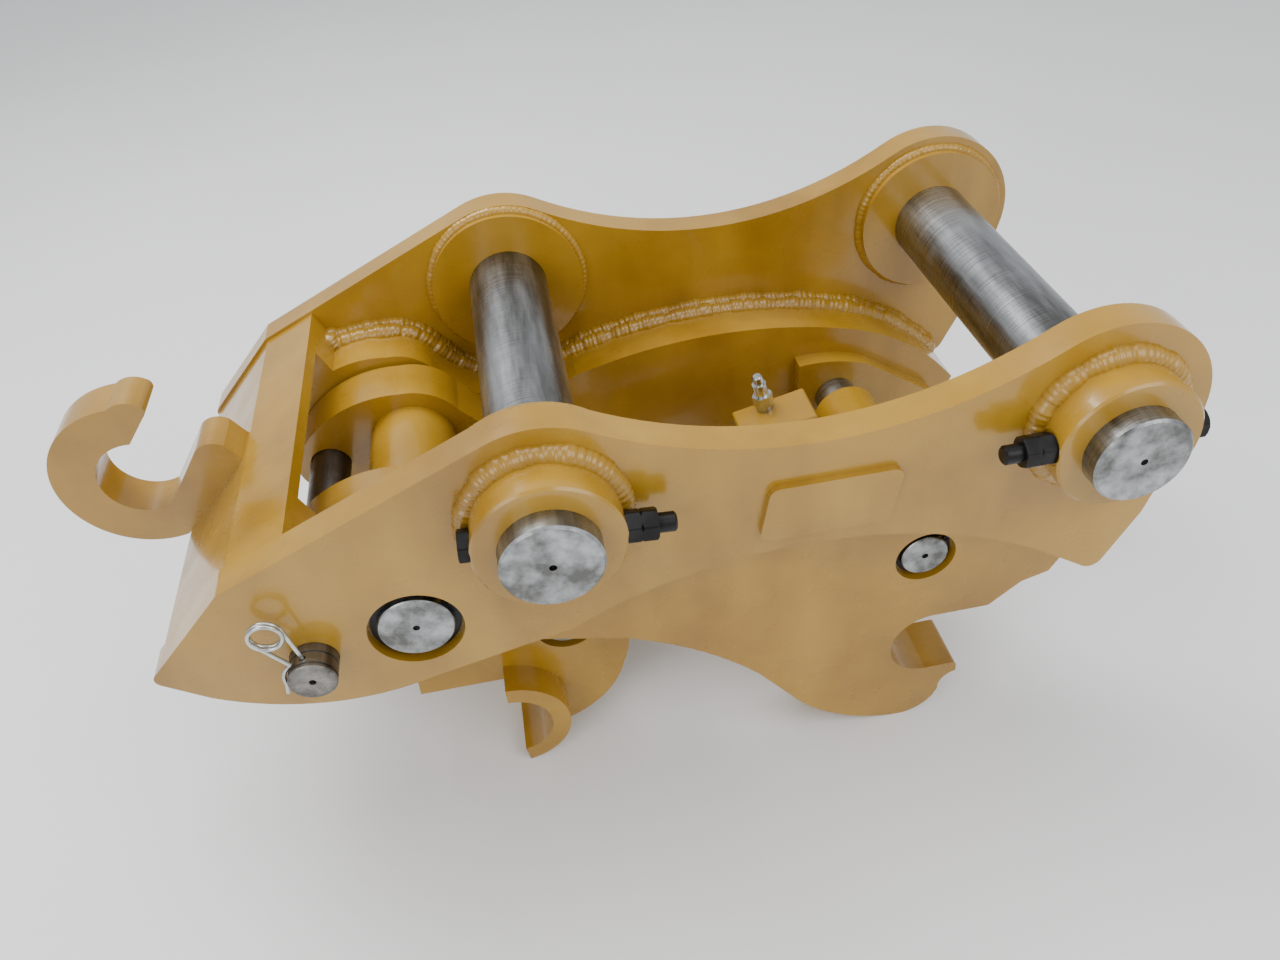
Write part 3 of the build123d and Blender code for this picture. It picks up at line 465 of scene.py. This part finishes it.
@dataclass(frozen=True)
class PaintFinish:
    """Glossy ochre paint over rough plate."""

    base: Colour = (0.40, 0.215, 0.012)
    shade: Colour = (0.27, 0.135, 0.006)
    light: Colour = (0.50, 0.29, 0.03)
    roughness: float = 0.26

    def make(self, name: str, effects: SharedEffects, lumps: float = 0.10) -> bpy.types.Material:
        """Builds the material.

        Args:
            name: material name.
            effects: shared node groups.
            lumps: strength of the uneven surface under the paint.

        Returns:
            The material.
        """
        material, shader, principled = start_material(name)
        mottle = shader.node("ShaderNodeGroup", node_tree=effects.mottle)
        broad = shader.ramp(mottle.outputs["Broad"], 0.35, 0.65)
        colour = shader.mix(broad, self.shade, self.base)
        runs = shader.ramp(shader.noise(shader.coords((1.0, 1.0, 0.25)), 14.0, 3.0), 0.45, 0.75)
        colour = shader.mix(shader.math("MULTIPLY", runs, 0.5), colour, self.light)
        specks = shader.math("MULTIPLY", mottle.outputs["Specks"], 0.5)
        colour = shader.mix(specks, colour, (0.10, 0.055, 0.01))
        dull = shader.ramp(shader.noise(shader.coords(), 22.0, 4.0), 0.3, 0.7, self.roughness - 0.07, self.roughness + 0.12)
        height = shader.math("ADD", shader.math("MULTIPLY", mottle.outputs["Peel"], 0.25),
            shader.math("MULTIPLY", shader.noise(shader.coords(), 60.0, 2.0), lumps * 10))
        bump = shader.node("ShaderNodeBump")
        shader.feed(bump, Height=height, Strength=0.35, Distance=0.0006)
        shader.feed(principled, Base_Color=colour, Roughness=dull, Normal=bump.outputs[0],
            Coat_Weight=0.5, Coat_Roughness=0.09, Specular_IOR_Level=0.5)
        return material


@dataclass(frozen=True)
class MetalFinish:
    """Bare or plated metal with marks of turning, long streaks along the axis (partly oily marks, partly painted
    streak reflection) and pits.
    """

    base: Colour
    dark: Colour
    roughness: float = 0.3
    spread: float = 0.18
    metallic: float = 1.0
    rings: float = 900.0
    bump: float = 0.25
    pits: float = 0.3

    def make(self, name: str, effects: SharedEffects) -> bpy.types.Material:
        """Builds the material.

        Args:
            name: material name.
            effects: shared node groups.

        Returns:
            The material.
        """
        material, shader, principled = start_material(name)
        turning = shader.node("ShaderNodeGroup", node_tree=effects.turning)
        turning.inputs[0].default_value = self.rings
        # Base colour streaks along the pin axis: partly oily marks, partly painted streak reflection.
        smear_and_sheen = shader.ramp(turning.outputs["Smears And Sheen"], 0.38, 0.66)
        colour = shader.mix(smear_and_sheen, self.dark, self.base)
        pits = shader.ramp(turning.outputs["Pits"], 0.58, 0.72, 0.0, self.pits)
        colour = shader.mix(pits, colour, self.dark)
        ring = shader.ramp(turning.outputs["Rings"], 0.3, 0.7, self.roughness - 0.05, self.roughness + self.spread)
        rough = shader.math("ADD", ring, shader.math("MULTIPLY", pits, 0.3))
        height = shader.math("SUBTRACT", shader.math("MULTIPLY", turning.outputs["Rings"], 0.4), pits)
        bump = shader.node("ShaderNodeBump")
        shader.feed(bump, Height=height, Strength=self.bump, Distance=0.0003)
        shader.feed(principled, Base_Color=colour, Roughness=rough, Normal=bump.outputs[0], Metallic=self.metallic)
        return material


def start_material(name: str) -> tuple[bpy.types.Material, Shader, bpy.types.Node]:
    """Empty material with its Principled shader wired to the output.

    Args:
        name: material name.

    Returns:
        The material, the shader helper and the Principled node.
    """
    material = bpy.data.materials.new(name)
    material.use_nodes = True
    material.node_tree.nodes.clear()
    shader = Shader(material.node_tree)
    principled = shader.node("ShaderNodeBsdfPrincipled")
    output = shader.node("ShaderNodeOutputMaterial")
    material.node_tree.links.new(principled.outputs[0], output.inputs[0])
    return material, shader, principled


class FinishShop:
    """Makes every finish once and puts it on the solids."""

    def __init__(self) -> None:
        """Builds the finishes."""
        effects = SharedEffects()
        metals = {
            "turned_steel": MetalFinish((0.42, 0.44, 0.45), (0.13, 0.13, 0.125), 0.26, 0.2),
            "black_oxide": MetalFinish((0.022, 0.022, 0.024), (0.009, 0.008, 0.008), 0.34, 0.15, 0.7, bump=0.5),
            "plain_steel": MetalFinish((0.34, 0.34, 0.34), (0.12, 0.115, 0.11), 0.35),
            "hard_chrome": MetalFinish((0.62, 0.63, 0.65), (0.5, 0.5, 0.52), 0.08, 0.06, pits=0.05),
            "seal_rubber": MetalFinish((0.02, 0.02, 0.02), (0.012, 0.012, 0.012), 0.6, 0.1, 0.0),
            "bronze": MetalFinish((0.45, 0.27, 0.1), (0.2, 0.1, 0.03), 0.3),
            "zinc_plate": MetalFinish((0.62, 0.66, 0.66), (0.42, 0.43, 0.40), 0.18, 0.14, bump=0.1, pits=0.15),
            "safety_pin_steel": MetalFinish((0.30, 0.29, 0.27), (0.09, 0.08, 0.07), 0.36, 0.2, pits=0.7),
        }
        self.made = {name: finish.make(name, effects) for name, finish in metals.items()}
        self.made["yellow_paint"] = PaintFinish().make("yellow_paint", effects)
        self.bead_paint = PaintFinish().make("bead_paint", effects, 0.2)

    def dress_solids(self) -> None:
        """Gives every solid the finish of its material slot."""
        slots = {entry["node"]: entry["material_slot"] for entry in frame["record"]["subparts"]}
        for name, piece in frame["nodes"].items():
            piece.data.materials.clear()
            piece.data.materials.append(self.made[slots[name]])
            log.info("solid %s: %s", name, slots[name])


# Floor, light and camera

@dataclass
class Studio:
    """Pale floor, soft lights and the camera of the photograph."""

    eye: tuple[float, float, float] = (0.00968, -0.78914, 0.52679)
    yaw: float = math.radians(6.48)
    pitch: float = math.radians(40.65)
    roll: float = math.radians(-5.56)
    lens: float = 28.54
    floor_half: float = 6.0
    lamps: tuple = field(default_factory=lambda: (
        ("key", (-0.9, 0.9, 1.9), (0.1, 0.0, -0.1), 1.2, 42.0),
        ("fill", (1.3, -1.4, 1.3), (0.1, 0.0, -0.1), 1.4, 18.0),
        ("front", (-1.2, -1.6, 0.9), (0.0, 0.0, -0.1), 1.2, 14.0),
        ("top", (0.2, 0.1, 2.3), (0.1, 0.0, 0.0), 1.6, 22.0),
    ))

    def build(self) -> None:
        """Builds the floor, the light and the camera."""
        self.floor()
        self.light()
        self.camera()

    def floor(self) -> None:
        """Flat pale floor that the jaws and the swing hook stand on."""
        half = self.floor_half
        corners = np.array([[-half, -half], [half, -half], [half, half], [-half, half]])
        points = np.column_stack([corners, np.full(4, SIZES.ground - 0.0002)])
        piece = new_mesh("studio_floor", points, np.array([[0, 1, 2, 3]]), False)
        material, shader, principled = start_material("studio_floor")
        tone = shader.ramp(shader.noise(shader.coords(), 1.5, 3.0), 0.3, 0.7)
        shader.feed(principled, Base_Color=shader.mix(tone, (0.86, 0.86, 0.86), (0.90, 0.90, 0.895)), Roughness=0.85)
        piece.data.materials.append(material)

    def light(self) -> None:
        """Bright even surroundings and four large soft lamps."""
        world = bpy.data.worlds.new("studio")
        bpy.context.scene.world = world
        world.use_nodes = True
        background = world.node_tree.nodes["Background"]
        background.inputs["Color"].default_value = (0.95, 0.97, 1.0, 1.0)
        background.inputs["Strength"].default_value = 0.75
        for name, place, target, size, power in self.lamps:
            data = bpy.data.lights.new(name, "AREA")
            data.size = size
            data.energy = power
            lamp = bpy.data.objects.new(name, data)
            bpy.context.scene.collection.objects.link(lamp)
            back = unit(np.array(place) - np.array(target))
            right = unit(np.cross(np.array([0.0, 0.0, 1.0]) + 1e-3, back))
            up = np.cross(back, right)
            lamp.matrix_world = self.matrix(right, up, back, place)

    @staticmethod
    def matrix(right: Array, up: Array, back: Array, place: Sequence[float]) -> Matrix:
        """Placement from three axes and a point."""
        rows = [[right[k], up[k], back[k], place[k]] for k in range(3)]
        return Matrix(rows + [[0, 0, 0, 1]])

    def camera(self) -> None:
        """Camera at the photograph's angle, from its yaw, pitch and roll."""
        cy, sy = math.cos(self.yaw), math.sin(self.yaw)
        cp, sp = math.cos(self.pitch), math.sin(self.pitch)
        ahead = np.array([sy * cp, cy * cp, -sp])
        right = np.array([cy, -sy, 0.0])
        up = np.cross(right, ahead)
        cr, sr = math.cos(self.roll), math.sin(self.roll)
        data = bpy.data.cameras.new("photo_camera")
        data.lens = self.lens
        data.sensor_width = 36.0
        data.clip_start = 0.02
        camera = bpy.data.objects.new("photo_camera", data)
        bpy.context.scene.collection.objects.link(camera)
        camera.matrix_world = self.matrix(cr * right + sr * up, -sr * right + cr * up, -ahead, self.eye)
        bpy.context.scene.camera = camera


def main() -> None:
    """Builds the scene in order."""
    logging.basicConfig(level=logging.INFO, format="%(message)s")
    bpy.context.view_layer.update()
    finishes = FinishShop()
    finishes.dress_solids()
    FrameWelds(WeldShop(finishes.bead_paint)).build()
    Studio().build()


if __name__ == "__main__":
    main()
